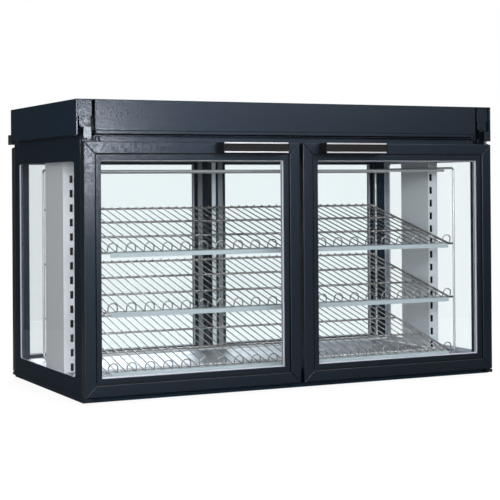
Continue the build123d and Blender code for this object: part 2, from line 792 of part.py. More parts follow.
def make_shelves():
    half_y = end_depth / 2
    lean = Rot(math.degrees(shelf_angle), 0, 0)
    wire = shelf_wire / 2
    front_y = -half_y - shelf_nose
    length = (2 * half_y + shelf_nose) / math.cos(shelf_angle)
    half_pitch = shelf_wire_pitch / 2
    # one wire: from the back, forward, up over a half round and back again
    forward, up, across = Vector(0, -1, 0), Vector(0, 0, 1), Vector(1, 0, 0)
    bed = rod((-half_pitch, length, 0), (-half_pitch, shelf_bend, 0), wire)
    foot = round_bend(Vector(-half_pitch, shelf_bend, 0), forward, up, shelf_bend, wire)
    post = rod((-half_pitch, 0, shelf_bend), (-half_pitch, 0, loop_rise), wire)
    crown = round_bend(Vector(-half_pitch, 0, loop_rise), up, across, half_pitch, wire, arc=180)
    leg = bed + foot + post
    one = (leg + crown + mirror(leg, about=Plane.YZ)).solid()
    drop = -(shelf_rod / 2 + wire + wire_touch)
    side_x = shelf_half + shelf_side_rod_gap + wire + shelf_rod / 2
    reach = end_half_width - end_rod / 2 - wire_touch
    slant = (half_y * 2) / math.cos(shelf_angle)
    front_s = shelf_nose / math.cos(shelf_angle)
    rails = []
    for level, name in enumerate(shelf_names):
        height = deck_top + shelf_floor_gap + level * shelf_pitch
        origin = Pos(0, front_y, height) * lean
        solids = []
        for index in range(shelf_loops):
            x = (index - (shelf_loops - 1) / 2) * 2 * shelf_wire_pitch
            solids.append(origin * Pos(x, 0, 0) * one)
        for share in (0.0, 1 / 3, 2 / 3, 1.0):
            s = front_s + share * (slant - shelf_rod / 2)
            half = reach if share in (0.0, 1.0) else side_x - shelf_rod / 2 - wire_touch
            solids.append(origin * rod((-half, s, drop), (half, s, drop), shelf_rod / 2))
        for x in (-side_x, side_x):
            ends = front_s + shelf_rod / 2 + wire_touch, front_s + slant - shelf_rod - wire_touch
            solids.append(origin * rod((x, ends[0], drop), (x, ends[1], drop), shelf_rod / 2))
        keep(f"shelf_{name}", *solids)
        rail_back = front_y - wire - rail_gap
        rail_top = height - rail_drop
        rail = box(-rail_half_length, rail_half_length, rail_back - rail_thickness, rail_back,
                   rail_top - rail_height, rail_top)
        flange_top = -wire - 2 * wire_touch
        rail += origin * box(-rail_half_length, rail_half_length, -wire - rail_thickness / 2,
                             front_s - shelf_rod / 2 - rail_gap, flange_top - rail_flange_sheet, flange_top)
        rails.append(rail.solid())
    keep("price_rails", *rails)


# Cross-flow blower, its motor and the sheathed heater, all on the ceiling panel
def make_heating():
    half = blower_length / 2
    y, z = blower_back, blower_height
    disc_low = Pos(-half, y, z) * Rot(0, 90, 0) * Cylinder(blower_radius, blower_disc)
    disc_high = Pos(half, y, z) * Rot(0, 90, 0) * Cylinder(blower_radius, blower_disc)
    wheel = disc_low + disc_high
    reach = half + blower_end_gap + blower_plate + shaft_stub
    wheel += rod((-reach, y, z), (reach, y, z), shaft_radius)
    for index in range(blade_count):
        angle = 360.0 * index / blade_count
        blade = Pos(0, y, z) * Rot(angle, 0, 0) * Pos(0, blower_radius - blade_chord / 2 - blade_edge, 0)
        wheel += blade * Box(blower_length - blower_disc, blade_chord, blade_sheet)
    keep("blower_wheel", wheel)

    inner = blower_radius + blower_shell_gap
    outer = inner + blower_shell
    low, high = -half - blower_end_gap, half + blower_end_gap
    shell = rod((low, y, z), (high, y, z), outer) - rod((low, y, z), (high, y, z), inner)
    shell -= box(low, high, y - outer, y, z - outer, z + blower_mouth_rise)
    plates = None
    for x0 in (low - blower_plate, high):
        plate = box(x0, x0 + blower_plate, y - outer, y + outer, ceiling_top, z + outer)
        plate -= rod((x0, y, z), (x0 + blower_plate, y, z), shaft_radius + pin_clearance)
        foot_x = x0 - blower_foot if x0 < 0 else x0 + blower_plate
        plate += box(foot_x, foot_x + blower_foot, y - outer, y + outer, ceiling_top,
                     ceiling_top + blower_plate)
        plates = plate if plates is None else plates + plate
    keep("blower_housing", shell + plates)

    motor_x = high + blower_plate
    motor = rod((motor_x, y, z), (motor_x + motor_length, y, z), motor_radius)
    motor -= rod((motor_x, y, z), (motor_x + shaft_stub + motor_bore_gap, y, z),
                 shaft_radius + motor_bore_gap)
    keep("blower_motor", motor)

    height = ceiling_top + heater_rise
    points = []
    for index in range(heater_passes):
        y_pass = heater_front + index * heater_pitch
        ends = (-heater_half_length, heater_half_length)
        ends = ends if index % 2 == 0 else ends[::-1]
        points.extend([(ends[0], y_pass, height), (ends[1], y_pass, height)])
    bend = heater_pitch / 2 - 0.01
    element = bent_rod(points, bend, heater_radius)
    straps = []
    for x in (-heater_half_length + heater_strap_inset, heater_half_length - heater_strap_inset):
        straps.append(box(x - heater_strap / 2, x + heater_strap / 2, heater_front - heater_strap_reach,
                          heater_front + heater_pitch * (heater_passes - 1) + heater_strap_reach,
                          ceiling_top, height - heater_radius - wire_touch))
    keep("heating_element", element, *straps)


def make_lights():
    y0 = -body_end + light_inset
    outline = (y0, y0 + light_width, ceiling_top, ceiling_top + light_height)
    housing = box(-light_half_length, light_half_length, *outline)
    housing -= box(-light_half_length + tube_wall, light_half_length - tube_wall,
                   outline[0] + tube_wall, outline[1] - tube_wall, outline[2], outline[3] - tube_wall)
    housing = housing.solid()
    lens = box(-light_half_length + light_lens_lip, light_half_length - light_lens_lip,
               outline[0] + light_lens_lip, outline[1] - light_lens_lip, ceiling_bottom, ceiling_top)
    keep("light_bars", housing, lens, mirror(housing, about=Plane.XZ), mirror(lens, about=Plane.XZ))


# Thermostat, two rocker switches and the power inlet on the cap's back panel
def control_cutouts():
    switch = (switch_width, switch_height)
    return [(power_switch_x, *switch), (light_switch_x, *switch), (inlet_x, inlet_width, inlet_height)]


def make_controls():
    z = control_height
    inside = cap_back - cap_sheet
    body = box(knob_x - thermostat_size / 2, knob_x + thermostat_size / 2, inside - thermostat_depth,
               inside, z - thermostat_size / 2, z + thermostat_size / 2)
    shaft = rod((knob_x, inside, z), (knob_x, cap_back + knob_shaft_length, z), knob_shaft_radius)
    housings = [(body + shaft).solid()]
    rockers = {}
    for name, x in (("power_switch", power_switch_x), ("light_switch", light_switch_x)):
        half_w, half_h = switch_width / 2, switch_height / 2
        case = box(x - half_w, x + half_w, cap_back - switch_depth, cap_back, z - half_h, z + half_h)
        bezel = box(x - half_w - switch_bezel, x + half_w + switch_bezel, cap_back,
                    cap_back + switch_bezel_out, z - half_h - switch_bezel, z + half_h + switch_bezel)
        room_w, room_h = half_w - switch_wall, half_h - switch_wall
        face = cap_back + switch_bezel_out
        room = box(x - room_w, x + room_w, face - rocker_depth - rocker_floor_gap, face,
                   z - room_h, z + room_h)
        housings.append((case + bezel - room).solid())
        rocker_w, rocker_h = room_w - rocker_gap, room_h - rocker_end_gap
        front = rocker_pivot + rocker_proud
        back = front - rocker_depth
        profile = [(back, rocker_taper - rocker_h), (front, -rocker_h), (front - rocker_dip, 0),
                   (front, rocker_h), (back, rocker_h - rocker_taper)]
        pivot = Pos(x, face - rocker_pivot, z) * Rot(-rocker_tilt, 0, 0)
        rockers[name] = pivot * prism_x(profile, -rocker_w, rocker_w)
    keep("control_housings", *housings)
    for name, rocker in rockers.items():
        keep(name, rocker)

    start = cap_back + knob_gap
    grip_radius = knob_radius - knob_grip_inset
    knob = rod((knob_x, start, z), (knob_x, start + knob_length, z), grip_radius)
    knob += rod((knob_x, start, z), (knob_x, start + knob_skirt, z), knob_radius)
    knob -= rod((knob_x, start, z), (knob_x, cap_back + knob_shaft_length + knob_bore_gap, z),
                knob_shaft_radius + pin_clearance)
    pointer = box(knob_x - knob_pointer_width / 2, knob_x + knob_pointer_width / 2,
                  start + knob_length, start + knob_length + knob_pointer_rise, z, z + grip_radius)
    keep("thermostat_knob", knob + pointer)

    half_w, half_h = inlet_width / 2, inlet_height / 2
    flange = box(inlet_x - half_w - inlet_flange, inlet_x + half_w + inlet_flange, cap_back,
                 cap_back + inlet_flange_out, z - half_h - inlet_flange_rise,
                 z + half_h + inlet_flange_rise)
    case = box(inlet_x - half_w, inlet_x + half_w, cap_back - inlet_depth, cap_back,
               z - half_h, z + half_h)
    socket = box(inlet_x - half_w + inlet_wall, inlet_x + half_w - inlet_wall,
                 cap_back + inlet_flange_out - inlet_recess, cap_back + inlet_flange_out,
                 z - half_h + inlet_wall, z + half_h - inlet_wall)
    inlet = flange + case - socket
    floor_y = cap_back + inlet_flange_out - inlet_recess
    wide, tall = inlet_blade_width / 2, inlet_blade_height / 2
    for dx, dz in inlet_blade_places:
        x = inlet_x + dx
        inlet += box(x - wide, x + wide, floor_y, floor_y + inlet_blade_length,
                     z + dz - tall, z + dz + tall)
    keep("power_inlet", inlet)


def make_screws():
    heads = []
    rows = (cap_panel_bottom + screw_inset, cap_inside_top - screw_inset)
    count = int(2 * (pocket_x - screw_inset) // screw_pitch)
    for z in rows:
        for index in range(count + 1):
            x = (index - count / 2) * screw_pitch
            heads.append(rod((x, cap_back, z), (x, cap_back + screw_head, z), screw_radius))
    keep("panel_screws", *heads)


make_base()
make_frame()
make_sides()
make_plates()
make_cap()
make_hinges()
make_doors()
make_columns()
make_rack()
make_shelves()
make_heating()
make_lights()
make_controls()
make_screws()

os.makedirs("parts", exist_ok=True)
for name, piece in pieces.items():
    export_step(piece, f"parts/{name}.step")
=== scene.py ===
import json
import math

import bmesh
import bpy
from bpy.props import FloatProperty, FloatVectorProperty, IntProperty, PointerProperty
from mathutils import Matrix, Vector


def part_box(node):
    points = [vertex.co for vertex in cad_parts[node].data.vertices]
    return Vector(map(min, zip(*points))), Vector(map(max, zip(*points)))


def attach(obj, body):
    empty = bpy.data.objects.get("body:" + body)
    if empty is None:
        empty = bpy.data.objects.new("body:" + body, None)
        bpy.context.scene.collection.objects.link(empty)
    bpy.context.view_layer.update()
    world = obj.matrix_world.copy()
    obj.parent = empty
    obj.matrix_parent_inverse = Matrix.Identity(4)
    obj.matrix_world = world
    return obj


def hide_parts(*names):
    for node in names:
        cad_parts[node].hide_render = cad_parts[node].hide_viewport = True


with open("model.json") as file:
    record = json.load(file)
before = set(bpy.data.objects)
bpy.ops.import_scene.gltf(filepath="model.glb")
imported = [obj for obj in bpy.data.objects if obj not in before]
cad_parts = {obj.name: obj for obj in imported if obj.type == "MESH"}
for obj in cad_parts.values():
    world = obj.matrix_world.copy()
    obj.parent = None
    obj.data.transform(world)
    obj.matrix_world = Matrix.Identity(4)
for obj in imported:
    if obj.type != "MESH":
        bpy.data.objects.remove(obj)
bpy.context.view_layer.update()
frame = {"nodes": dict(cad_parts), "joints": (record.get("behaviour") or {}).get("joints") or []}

bl_info = {
    "name": "Heated merchandising cabinet",
    "version": (1, 0, 0),
    "blender": (4, 5, 0),
    "location": "View3D > Sidebar > Cabinet",
    "description": "Finishes a pass-through heated cabinet around its measured frame",
    "category": "Object",
}

MM = 0.001
FINISHES = {}
DOORS = ("front_left", "front_right", "rear_left", "rear_right")


# Sizes and colours that a user may change

def length(label, text, default):
    return FloatProperty(name=label, description=text, default=default, min=0.0, unit="LENGTH")


def colour(label, text, default):
    return FloatVectorProperty(name=label, description=text, default=default, size=3, min=0.0, max=1.0,
                               subtype="COLOR")


class CabinetSizes(bpy.types.PropertyGroup):
    """Rounded edges, folds and small trim."""
    door_arris: length("Door arris", "Rounding along the door bars", 1.9 * MM)
    mitre_arris: length("Bead arris", "Rounding along the glazing beads", 0.7 * MM)
    bead_groove: length("Bead groove", "Shadow gap between a door bar and its bead", 2.2 * MM)
    cap_corner: length("Cap corner", "Radius of the cap panel's upright bends", 5.0 * MM)
    cap_hem: length("Cap hem", "Height of the folded strip under the cap panel", 7.6 * MM)
    cap_groove: length("Cap groove", "Gap between the cap panel and its hem", 1.0 * MM)
    sheet_edge: length("Sheet edge", "Rounding of bent sheet edges", 0.4 * MM)
    hinge_edge: length("Hinge edge", "Rounding of the hinge castings", 1.2 * MM)
    glass_edge: length("Glass edge", "Ground edge of each pane", 0.5 * MM)
    pull_edge: length("Pull edge", "Rounding of the pull's lips", 0.9 * MM)
    pull_ribs: IntProperty(name="Pull ribs", description="Fine ribs along the pull's insert", default=7,
                           min=1)


class CabinetColours(bpy.types.PropertyGroup):
    """Base colours of the finishes."""
    coat: colour("Coat", "Pebbled powder coat", (0.0022, 0.0036, 0.0052))
    side: colour("Side", "Smoother coat of the side sheets", (0.006, 0.013, 0.021))
    cap_side: colour("Cap side", "Smoother coat of the cap's sides", (0.0075, 0.0175, 0.031))
    column: colour("Column", "Air columns", (0.66, 0.645, 0.67))
    deck: colour("Deck", "Deck and ceiling sheet", (0.4, 0.41, 0.46))
    wire: colour("Wire", "Chromed wire", (0.5, 0.46, 0.45))
    rod: colour("Rack rod", "Plated rods of the rack", (0.74, 0.71, 0.71))
    rail: colour("Price rail", "Price rails", (0.42, 0.44, 0.46))
    lip: colour("Pull lip", "Bright lips of the pulls", (0.74, 0.73, 0.76))
    insert: colour("Pull insert", "Dark strip between the lips", (0.011, 0.0095, 0.01))
    gasket: colour("Gasket", "Glazing gasket and spacer", (0.6, 0.58, 0.64))
    glass: colour("Glass", "Faint tint of the glass", (0.968, 0.993, 0.998))
    black: colour("Black", "Black plastic and rubber", (0.012, 0.012, 0.013))


class CabinetStudio(bpy.types.PropertyGroup):
    """Camera and light."""
    lens: FloatProperty(name="Lens", description="Focal length on a 36 mm sensor", default=102.857, min=1.0)
    rise: FloatProperty(name="Rise", description="Vertical shift of the frame", default=-0.147)
    soft_light: FloatProperty(name="Soft light", description="Surrounding light on the object", default=0.34)
    key_light: FloatProperty(name="Key light", description="Power of the large softbox above the front",
                             default=36.0)
    front_light: FloatProperty(name="Front light", description="Power of the softbox beside the camera",
                               default=100.0)
    sheen_light: FloatProperty(name="Sheen light", description="Power of the box that shines on the left end",
                               default=11.5)
    side_light: FloatProperty(name="Side light", description="Power of the softbox at the left", default=25.0)
    rear_light: FloatProperty(name="Rear light", description="Power of the softbox behind", default=40.0)
    horizon: FloatProperty(name="Horizon", description="What shiny surfaces see beside the object",
                           default=0.07)


# Shader helpers

GLASS_IOR = 1.22
GLASS_DRIFT = 0.003
LUMP_SMOOTHNESS = 0.6
FINE_SCALE = 2.6
FACET_SCALE = 0.95
FACET_LOW, FACET_HIGH = 0.4, 0.6
DRIFT_SCALE = 0.012
SPECK_SCALE = 60.0
SCRATCH = (0.02, 1.0, 1.0)


def wired(material):
    """The node tree, Principled shader and output of a fresh node material."""
    material.use_nodes = True
    tree = material.node_tree
    return tree, tree.nodes["Principled BSDF"], tree.nodes["Material Output"]


def add(tree, kind, **inputs):
    """A node with some of its sockets set by name."""
    node = tree.nodes.new(kind)
    for name, value in inputs.items():
        node.inputs[name.replace("_", " ")].default_value = value
    return node


def new_group(name, inputs, outputs):
    """An empty shader group with named float inputs, and outputs given as name and kind."""
    tree = bpy.data.node_groups.new(name, "ShaderNodeTree")
    for label, default in inputs:
        socket = tree.interface.new_socket(label, in_out="INPUT", socket_type="NodeSocketFloat")
        socket.default_value = default
    for label, kind in outputs:
        tree.interface.new_socket(label, in_out="OUTPUT", socket_type=kind)
    return tree, tree.nodes.new("NodeGroupInput"), tree.nodes.new("NodeGroupOutput")


def scaled_coordinates(tree, scale_socket, stretch=(1.0, 1.0, 1.0)):
    """Object coordinates times a scale, stretched along the axes."""
    place = tree.nodes.new("ShaderNodeTexCoord")
    squeeze = add(tree, "ShaderNodeVectorMath")
    squeeze.operation = "MULTIPLY"
    squeeze.inputs[1].default_value = stretch
    grow = add(tree, "ShaderNodeVectorMath")
    grow.operation = "SCALE"
    tree.links.new(place.outputs["Object"], squeeze.inputs[0])
    tree.links.new(squeeze.outputs["Vector"], grow.inputs[0])
    tree.links.new(scale_socket, grow.inputs["Scale"])
    return grow.outputs["Vector"]


def blend_values(tree, low, high, factor):
    """A value between two sockets, as a Mix node."""
    mix = tree.nodes.new("ShaderNodeMix")
    mix.data_type = "FLOAT"
    tree.links.new(factor, mix.inputs["Factor"])
    tree.links.new(low, mix.inputs["A"])
    tree.links.new(high, mix.inputs["B"])
    return mix.outputs["Result"]


def pebble_group():
    """Pebbled powder coat: its grain's height, a slow drift in tone, and facets in roughness and shine."""
    name = "Pebbled coat"
    if name in bpy.data.node_groups:
        return bpy.data.node_groups[name]
    tree, inputs, outputs = new_group(
        name, [("Grain", 620.0), ("Fine share", 0.35), ("Low roughness", 0.36), ("High roughness", 0.5),
               ("Low shine", 0.0), ("High shine", 0.0)],
        [("Height", "NodeSocketFloat"), ("Tone", "NodeSocketFloat"), ("Roughness", "NodeSocketFloat"),
         ("Shine", "NodeSocketFloat")])
    vector = scaled_coordinates(tree, inputs.outputs["Grain"])
    lumps = add(tree, "ShaderNodeTexVoronoi", Scale=1.0, Randomness=1.0)
    lumps.feature = "SMOOTH_F1"
    lumps.inputs["Smoothness"].default_value = LUMP_SMOOTHNESS
    fine = add(tree, "ShaderNodeTexNoise", Scale=FINE_SCALE, Detail=3.0, Roughness=0.6)
    drift = add(tree, "ShaderNodeTexNoise", Scale=DRIFT_SCALE, Detail=3.0, Roughness=0.5)
    for node in (lumps, fine, drift):
        tree.links.new(vector, node.inputs["Vector"])
    height = blend_values(tree, lumps.outputs["Distance"], fine.outputs["Fac"], inputs.outputs["Fine share"])
    tree.links.new(height, outputs.inputs["Height"])
    tree.links.new(drift.outputs["Fac"], outputs.inputs["Tone"])
    facets = add(tree, "ShaderNodeTexNoise", Scale=FACET_SCALE, Detail=1.0, Roughness=0.5)
    tree.links.new(vector, facets.inputs["Vector"])
    spots = add(tree, "ShaderNodeMapRange", From_Min=FACET_LOW, From_Max=FACET_HIGH)
    tree.links.new(facets.outputs["Fac"], spots.inputs["Value"])
    rough = blend_values(tree, inputs.outputs["High roughness"], inputs.outputs["Low roughness"],
                         spots.outputs["Result"])
    tree.links.new(rough, outputs.inputs["Roughness"])
    shine = blend_values(tree, inputs.outputs["Low shine"], inputs.outputs["High shine"],
                         spots.outputs["Result"])
    tree.links.new(shine, outputs.inputs["Shine"])
    return tree


def grain_group():
    """Brushed metal: long scratches along X, with their height, tone and roughness."""
    name = "Brushed grain"
    if name in bpy.data.node_groups:
        return bpy.data.node_groups[name]
    tree, inputs, outputs = new_group(
        name, [("Grain", 900.0), ("Low roughness", 0.2), ("High roughness", 0.38)],
        [("Height", "NodeSocketFloat"), ("Tone", "NodeSocketFloat"), ("Roughness", "NodeSocketFloat")])
    vector = scaled_coordinates(tree, inputs.outputs["Grain"], SCRATCH)
    lines = add(tree, "ShaderNodeTexNoise", Scale=1.0, Detail=4.0, Roughness=0.65)
    tree.links.new(vector, lines.inputs["Vector"])
    tree.links.new(lines.outputs["Fac"], outputs.inputs["Height"])
    tree.links.new(lines.outputs["Fac"], outputs.inputs["Tone"])
    rough = blend_values(tree, inputs.outputs["Low roughness"], inputs.outputs["High roughness"],
                         lines.outputs["Fac"])
    tree.links.new(rough, outputs.inputs["Roughness"])
    return tree


def handling_group():
    """Faint handling marks and dust: a tone and a roughness that drift slowly over a surface."""
    name = "Handling marks"
    if name in bpy.data.node_groups:
        return bpy.data.node_groups[name]
    tree, inputs, outputs = new_group(
        name, [("Size", 14.0), ("Low roughness", 0.3), ("High roughness", 0.45)],
        [("Tone", "NodeSocketFloat"), ("Roughness", "NodeSocketFloat"), ("Height", "NodeSocketFloat")])
    vector = scaled_coordinates(tree, inputs.outputs["Size"])
    patches = add(tree, "ShaderNodeTexNoise", Scale=1.0, Detail=5.0, Roughness=0.62)
    speck = add(tree, "ShaderNodeTexNoise", Scale=SPECK_SCALE, Detail=2.0, Roughness=0.5)
    for node in (patches, speck):
        tree.links.new(vector, node.inputs["Vector"])
    tree.links.new(patches.outputs["Fac"], outputs.inputs["Tone"])
    tree.links.new(speck.outputs["Fac"], outputs.inputs["Height"])
    rough = blend_values(tree, inputs.outputs["Low roughness"], inputs.outputs["High roughness"],
                         patches.outputs["Fac"])
    tree.links.new(rough, outputs.inputs["Roughness"])
    return tree


def effect(tree, group, **inputs):
    """A shader group placed in a material with its own values."""
    node = tree.nodes.new("ShaderNodeGroup")
    node.node_tree = group
    for name, value in inputs.items():
        node.inputs[name.replace("_", " ")].default_value = value
    return node


def toned(tree, shader, tone, base, spread):
    """Base colour that drifts a little either side of its value."""
    ramp = tree.nodes.new("ShaderNodeMix")
    ramp.data_type = "RGBA"
    ramp.inputs["A"].default_value = (*[c * (1 - spread) for c in base], 1.0)
    ramp.inputs["B"].default_value = (*[min(1.0, c * (1 + spread)) for c in base], 1.0)
    tree.links.new(tone, ramp.inputs["Factor"])
    tree.links.new(ramp.outputs["Result"], shader.inputs["Base Color"])


def bumped(tree, shader, height, depth):
    """A bump of the given depth in metres."""
    bump = tree.nodes.new("ShaderNodeBump")
    bump.inputs["Strength"].default_value = 1.0
    bump.inputs["Distance"].default_value = depth
    tree.links.new(height, bump.inputs["Height"])
    tree.links.new(bump.outputs["Normal"], shader.inputs["Normal"])


def surface(name, base, group, spread=0.06, depth=0.0, metallic=0.0, shine=0.5, sheen=None, gloss=0.0,
            **values):
    """A Principled material whose tone, roughness and relief come from one effect group."""
    if name in FINISHES:
        return FINISHES[name]
    material = FINISHES[name] = bpy.data.materials.new(name)
    tree, shader, _ = wired(material)
    shader.inputs["Metallic"].default_value = metallic
    shader.inputs["Specular IOR Level"].default_value = shine
    if sheen:
        shader.inputs["Specular Tint"].default_value = (*sheen, 1.0)
    node = effect(tree, group, **values)
    if gloss:
        shader.inputs["Coat Roughness"].default_value = gloss
        tree.links.new(node.outputs["Shine"], shader.inputs["Coat Weight"])
    toned(tree, shader, node.outputs["Tone"], base, spread)
    tree.links.new(node.outputs["Roughness"], shader.inputs["Roughness"])
    if depth:
        bumped(tree, shader, node.outputs["Height"], depth)
    material.diffuse_color = (*base, 1.0)
    return material


def glass_material():
    """Clear polished glass that lets lamp light through to what is behind it."""
    if "clear_glass" in FINISHES:
        return FINISHES["clear_glass"]
    tint = bpy.context.scene.cabinet_colours.glass
    material = FINISHES["clear_glass"] = bpy.data.materials.new("clear_glass")
    tree, shader, output = wired(material)
    shader.inputs["Transmission Weight"].default_value = 1.0
    shader.inputs["Roughness"].default_value = 0.0
    shader.inputs["IOR"].default_value = GLASS_IOR
    node = effect(tree, handling_group(), Size=4.0)
    toned(tree, shader, node.outputs["Tone"], tint, GLASS_DRIFT)
    path = tree.nodes.new("ShaderNodeLightPath")
    either = tree.nodes.new("ShaderNodeMath")
    either.operation = "MAXIMUM"
    tree.links.new(path.outputs["Is Shadow Ray"], either.inputs[0])
    tree.links.new(path.outputs["Is Diffuse Ray"], either.inputs[1])
    clear = tree.nodes.new("ShaderNodeBsdfTransparent")
    clear.inputs["Color"].default_value = (*tint, 1.0)
    mix = tree.nodes.new("ShaderNodeMixShader")
    tree.links.new(either.outputs["Value"], mix.inputs["Fac"])
    tree.links.new(shader.outputs["BSDF"], mix.inputs[1])
    tree.links.new(clear.outputs["BSDF"], mix.inputs[2])
    tree.links.new(mix.outputs["Shader"], output.inputs["Surface"])
    return material


# Finishes of this cabinet

NAVY_SHEEN = (0.5, 0.7, 1.0)


def finish(name, colour_name, group, **values):
    """A finish in one of the colours that a user may change."""
    return surface(name, getattr(bpy.context.scene.cabinet_colours, colour_name), group, **values)


def coat():
    return finish("pebbled_coat", "coat", pebble_group(), spread=0.3, depth=0.00015, shine=0.45,
                  sheen=NAVY_SHEEN, gloss=0.2, Grain=260.0, Low_roughness=0.38, High_roughness=0.48,
                  Low_shine=0.2, High_shine=0.8)


def casting_coat():
    return finish("casting_coat", "coat", pebble_group(), spread=0.3, depth=0.00012, shine=0.45,
                  sheen=NAVY_SHEEN, gloss=0.2, Grain=300.0, Low_roughness=0.38, High_roughness=0.46,
                  Low_shine=0.8, High_shine=1.0)


def bead_coat():
    return finish("bead_coat", "coat", pebble_group(), spread=0.3, depth=0.00015, shine=0.4,
                  sheen=NAVY_SHEEN, gloss=0.24, Grain=270.0, Low_roughness=0.4, High_roughness=0.5,
                  Low_shine=0.14, High_shine=0.66)


def cap_side_coat():
    return finish("cap_side_coat", "cap_side", pebble_group(), spread=0.25, depth=0.00005, shine=0.2,
                  sheen=NAVY_SHEEN, Grain=400.0, Low_roughness=0.4, High_roughness=0.48)


def side_coat():
    return finish("side_coat", "side", pebble_group(), spread=0.2, depth=0.00004, shine=0.16,
                  sheen=NAVY_SHEEN, Grain=500.0, Low_roughness=0.4, High_roughness=0.48)


def frame_coat():
    return finish("frame_coat", "side", pebble_group(), spread=0.2, depth=0.00005, shine=0.25,
                  sheen=NAVY_SHEEN, Grain=500.0, Low_roughness=0.38, High_roughness=0.46)


def column_paint():
    return finish("column_paint", "column", handling_group(), spread=0.04, depth=0.00002, shine=0.4,
                  Size=10.0, Low_roughness=0.36, High_roughness=0.46)


# Near-black finish for the faces inside the air columns: painted shade, so that the slots read as dark holes.
def duct_black():
    return surface("duct_black", (0.006, 0.006, 0.007), handling_group(), spread=0.2, shine=0.1, Size=12.0,
                   Low_roughness=0.7, High_roughness=0.85)


def deck_sheet():
    return finish("deck_sheet", "deck", grain_group(), spread=0.08, depth=0.00002, metallic=0.9,
                  Grain=900.0, Low_roughness=0.28, High_roughness=0.42)


def wire_chrome():
    return finish("wire_chrome", "wire", handling_group(), spread=0.1, metallic=0.85, shine=0.6, Size=30.0,
                  Low_roughness=0.12, High_roughness=0.24)


def rod_plating():
    return finish("rod_plating", "rod", handling_group(), spread=0.06, metallic=0.4, shine=0.7, Size=30.0,
                  Low_roughness=0.14, High_roughness=0.26)


def rail_plastic():
    return finish("rail_plastic", "rail", handling_group(), spread=0.05, depth=0.00002, shine=0.4,
                  Size=16.0, Low_roughness=0.35, High_roughness=0.5)


def bright_steel():
    return surface("bright_steel", (0.72, 0.72, 0.74), grain_group(), spread=0.1, depth=0.00001,
                   metallic=1.0, Grain=1400.0, Low_roughness=0.16, High_roughness=0.32)


def lip_metal():
    return finish("lip_metal", "lip", grain_group(), spread=0.06, depth=0.000008, metallic=0.85,
                  Grain=2200.0, Low_roughness=0.25, High_roughness=0.4)


def insert_strip():
    return finish("insert_strip", "insert", grain_group(), spread=0.45, depth=0.00005, shine=0.16,
                  Grain=700.0, Low_roughness=0.4, High_roughness=0.6)


def gasket_rubber():
    return finish("gasket_rubber", "gasket", handling_group(), spread=0.05, depth=0.00003, shine=0.3,
                  Size=22.0, Low_roughness=0.45, High_roughness=0.6)


def seal_rubber():
    return surface("seal_rubber", (0.3, 0.29, 0.3), handling_group(), spread=0.08, depth=0.00004, shine=0.3,
                   Size=22.0, Low_roughness=0.5, High_roughness=0.65)


def black_plastic():
    return finish("black_plastic", "black", pebble_group(), spread=0.2, depth=0.00006, shine=0.4,
                  Grain=1500.0, Low_roughness=0.38, High_roughness=0.5)


def matt_black():
    return surface("matt_black", (0.004, 0.004, 0.005), pebble_group(), spread=0.2, depth=0.00004,
                   shine=0.15, Grain=1200.0, Low_roughness=0.5, High_roughness=0.6)


def gloss_black():
    return finish("gloss_black", "black", handling_group(), spread=0.15, shine=0.5, Size=20.0,
                  Low_roughness=0.12, High_roughness=0.24)


def strip_plastic():
    return surface("strip_plastic", (0.86, 0.86, 0.88), handling_group(), spread=0.04, depth=0.00002,
                   shine=0.4, Size=30.0, Low_roughness=0.35, High_roughness=0.5)


def galvanised():
    return surface("zinc_sheet", (0.52, 0.53, 0.55), pebble_group(), spread=0.22, depth=0.00002,
                   metallic=0.9, Grain=60.0, Low_roughness=0.3, High_roughness=0.5)


def heater_sheath():
    return surface("sheath_metal", (0.3, 0.25, 0.2), handling_group(), spread=0.3, depth=0.00003,
                   metallic=0.9, Size=8.0, Low_roughness=0.34, High_roughness=0.5)


def motor_paint():
    return surface("motor_paint", (0.03, 0.03, 0.032), pebble_group(), spread=0.2, depth=0.0001, shine=0.4,
                   Grain=900.0, Low_roughness=0.35, High_roughness=0.5)


def milky_lens():
    return surface("milky_lens", (0.82, 0.82, 0.8), handling_group(), spread=0.03, shine=0.5, Size=20.0,
                   Low_roughness=0.2, High_roughness=0.3)


def fibre_board():
    return surface("fibre_board", (0.6, 0.55, 0.42), pebble_group(), spread=0.2, depth=0.0006, shine=0.1,
                   Grain=300.0, Low_roughness=0.8, High_roughness=0.95)


# Mesh helpers

MERGE_GAP = 1e-6
COPY_GAP = 1e-5
WELD_GAP = 2e-5
FLAT_ANGLE = math.radians(1.0)
SMOOTH_ANGLE = math.radians(32.0)
SHARP_ANGLE = math.radians(35.0)


def add_block(bm, low, high, edge=0.0, segments=2):
    """A box between two corners with all its edges rounded. Returns its vertices."""
    low, high = Vector(map(min, low, high)), Vector(map(max, low, high))
    made = bmesh.ops.create_cube(bm, size=1.0)["verts"]
    bmesh.ops.scale(bm, vec=high - low, verts=made)
    bmesh.ops.translate(bm, vec=(low + high) / 2, verts=made)
    if edge:
        round_edges(bm, edges_of(made), edge, segments)
    return made


def edges_of(verts):
    """Every edge that meets one of some vertices."""
    return list(dict.fromkeys(edge for vert in verts if vert.is_valid for edge in vert.link_edges))


def round_edges(bm, edges, width, segments=2):
    """Rounds edges over to a fillet of the given width."""
    bmesh.ops.bevel(bm, geom=edges, offset=width, offset_type="OFFSET", segments=segments, profile=0.5,
                    affect="EDGES", clamp_overlap=True, material=-1)


